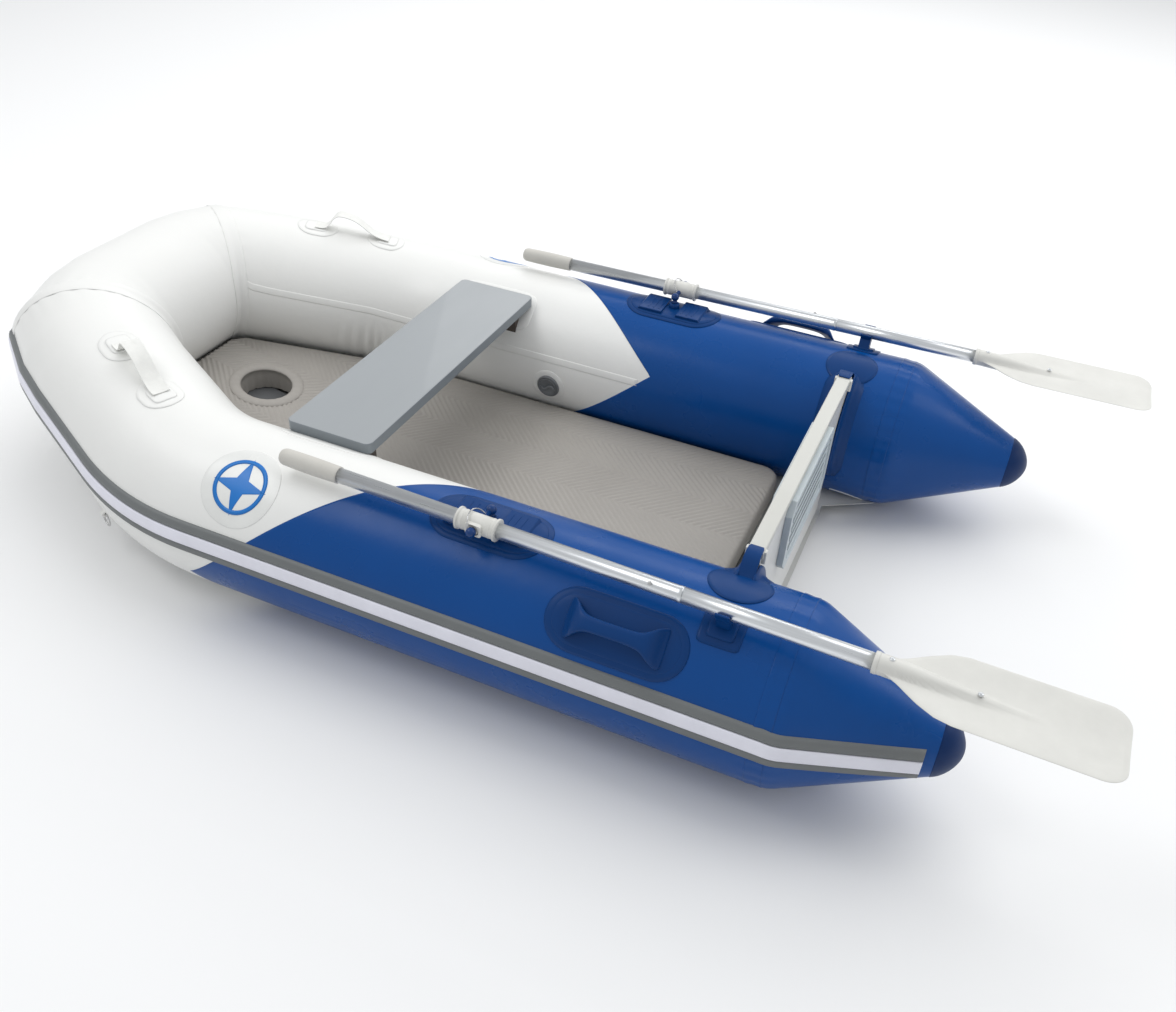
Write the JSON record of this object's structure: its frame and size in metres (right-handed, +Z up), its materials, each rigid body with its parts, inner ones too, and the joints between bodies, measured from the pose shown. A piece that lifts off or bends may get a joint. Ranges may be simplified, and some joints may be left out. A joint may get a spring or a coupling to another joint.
{
  "type": "inflatable dinghy",
  "caption": "Inflatable dinghy with air floor, thwart seat, motor transom, hull strake and a pair of oars stowed in swinging rowlocks.",
  "frame": {"origin": "middle of the overall length and width, on the ground under the tubes", "axes": "+X towards the stern, +Y to starboard, +Z up"},
  "size_m": [2.5756, 1.334, 0.461],
  "materials": {
    "white_pvc": "satin",
    "blue_pvc": "semi-gloss",
    "blue_moulding": "semi-gloss",
    "blue_plastic": "gloss",
    "strake_grey": "satin",
    "stripe_white": "satin",
    "floor_fabric": "matte, embossed",
    "keel_fabric": "matte",
    "seat_paint": "painted satin",
    "dark_rubber": "matte",
    "white_board": "painted",
    "ivory_plastic": "satin",
    "plate_grey": "satin",
    "wire": "bright",
    "alloy": "bright anodised",
    "webbing": "woven",
    "valve_grey": "satin"
  },
  "bodies": {
    "hull": {"bow_tube": "white_pvc", "bow_shoulder_port": "white_pvc", "bow_shoulder_starboard": "white_pvc", "quarter_tube_port": "white_pvc", "quarter_tube_starboard": "white_pvc", "side_tube_fore_port": "white_pvc", "side_tube_fore_starboard": "white_pvc", "side_tube_aft_port": "blue_pvc", "side_tube_aft_starboard": "blue_pvc", "stern_cone_port": "blue_pvc", "stern_cone_starboard": "blue_pvc", "cone_cap_port": "blue_moulding", "cone_cap_starboard": "blue_moulding", "rubbing_strake": "strake_grey", "strake_stripe": "stripe_white", "bottom_skin": "white_pvc", "keel_tube": "keel_fabric", "air_floor": "floor_fabric", "floor_hole_rim": "floor_fabric", "seat_bracket_port": "dark_rubber", "seat_bracket_starboard": "dark_rubber", "transom_board": "white_board", "transom_cap": "ivory_plastic", "motor_plate_fore": "plate_grey", "motor_plate_aft": "plate_grey", "transom_holder_port": "blue_moulding", "transom_holder_starboard": "blue_moulding", "rowlock_base_port": "blue_moulding", "rowlock_base_starboard": "blue_moulding", "oar_clip_port": "blue_moulding", "oar_clip_starboard": "blue_moulding", "grab_handle_port": "blue_moulding", "grab_handle_starboard": "blue_moulding", "bow_strap_port": "webbing", "bow_strap_starboard": "webbing", "tow_eye_port": "white_pvc", "tow_eye_starboard": "white_pvc", "valve_body_port": "valve_grey", "valve_body_starboard": "valve_grey"},
    "rowlock_starboard": {"rowlock_pin_starboard": "blue_plastic", "keeper_wire_starboard": "wire"},
    "oar_starboard": {"oar_collar_starboard": "ivory_plastic", "oar_grip_starboard": "ivory_plastic", "oar_shaft_upper_starboard": "alloy", "oar_shaft_lower_starboard": "alloy", "oar_blade_starboard": "ivory_plastic"},
    "button_starboard": {"oar_button_starboard": "alloy"},
    "tow_ring_starboard": {"tow_ring_starboard": "wire"},
    "valve_cap_starboard": {"valve_cap_starboard": "valve_grey"},
    "rowlock_port": {"rowlock_pin_port": "blue_plastic", "keeper_wire_port": "wire"},
    "oar_port": {"oar_collar_port": "ivory_plastic", "oar_grip_port": "ivory_plastic", "oar_shaft_upper_port": "alloy", "oar_shaft_lower_port": "alloy", "oar_blade_port": "ivory_plastic"},
    "button_port": {"oar_button_port": "alloy"},
    "tow_ring_port": {"tow_ring_port": "wire"},
    "valve_cap_port": {"valve_cap_port": "valve_grey"},
    "seat": {"seat_board": "seat_paint"}
  },
  "joints": [
    {"name": "oar_swing_starboard", "type": "hinge", "parent": "hull", "child": "rowlock_starboard", "pos_m": [0.15673, 0.492, 0.392], "axis": [0, 0, 1], "range_deg": [0, 100], "deforming": ["oar_clip_starboard"]},
    {"name": "oar_lift_starboard", "type": "hinge", "parent": "rowlock_starboard", "child": "oar_starboard", "pos_m": [0.15673, 0.492, 0.392], "axis": [0.0253, -0.9997, 0], "range_deg": [0, 2.2], "deforming": ["oar_clip_starboard"]},
    {"name": "oar_button_starboard", "type": "slide", "parent": "oar_starboard", "child": "button_starboard", "axis": [0.0179, -0.7069, -0.7071], "range_m": [0, 0.003], "stiffness_N_per_m": 300},
    {"name": "tow_ring_starboard", "type": "hinge", "parent": "hull", "child": "tow_ring_starboard", "pos_m": [-0.77607, 0.57152, 0.1007], "axis": [0.8954, 0.4105, -0.1727], "range_deg": [-35, 75]},
    {"name": "valve_cap_starboard", "type": "hinge", "parent": "hull", "child": "valve_cap_starboard", "pos_m": [-0.10127, 0.29538, 0.15745], "axis": [0, -0.9925, -0.1219], "range_deg": [0, 90]},
    {"name": "oar_swing_port", "type": "hinge", "parent": "hull", "child": "rowlock_port", "pos_m": [0.15673, -0.492, 0.392], "axis": [0, 0, -1], "range_deg": [0, 100], "deforming": ["oar_clip_port"]},
    {"name": "oar_lift_port", "type": "hinge", "parent": "rowlock_port", "child": "oar_port", "pos_m": [0.15673, -0.492, 0.392], "axis": [-0.0253, -0.9997, 0], "range_deg": [0, 2.2], "deforming": ["oar_clip_port"]},
    {"name": "oar_button_port", "type": "slide", "parent": "oar_port", "child": "button_port", "axis": [0.0179, 0.7069, -0.7071], "range_m": [0, 0.003], "stiffness_N_per_m": 300},
    {"name": "tow_ring_port", "type": "hinge", "parent": "hull", "child": "tow_ring_port", "pos_m": [-0.77607, -0.57152, 0.1007], "axis": [-0.8954, 0.4105, 0.1727], "range_deg": [-35, 75]},
    {"name": "valve_cap_port", "type": "hinge", "parent": "hull", "child": "valve_cap_port", "pos_m": [-0.10127, -0.29538, 0.15745], "axis": [0, 0.9925, -0.1219], "range_deg": [0, 90]},
    {"name": "seat_lift", "type": "slide", "parent": "hull", "child": "seat", "axis": [0, 0, 1], "range_m": [0, 0.08]}
  ]
}
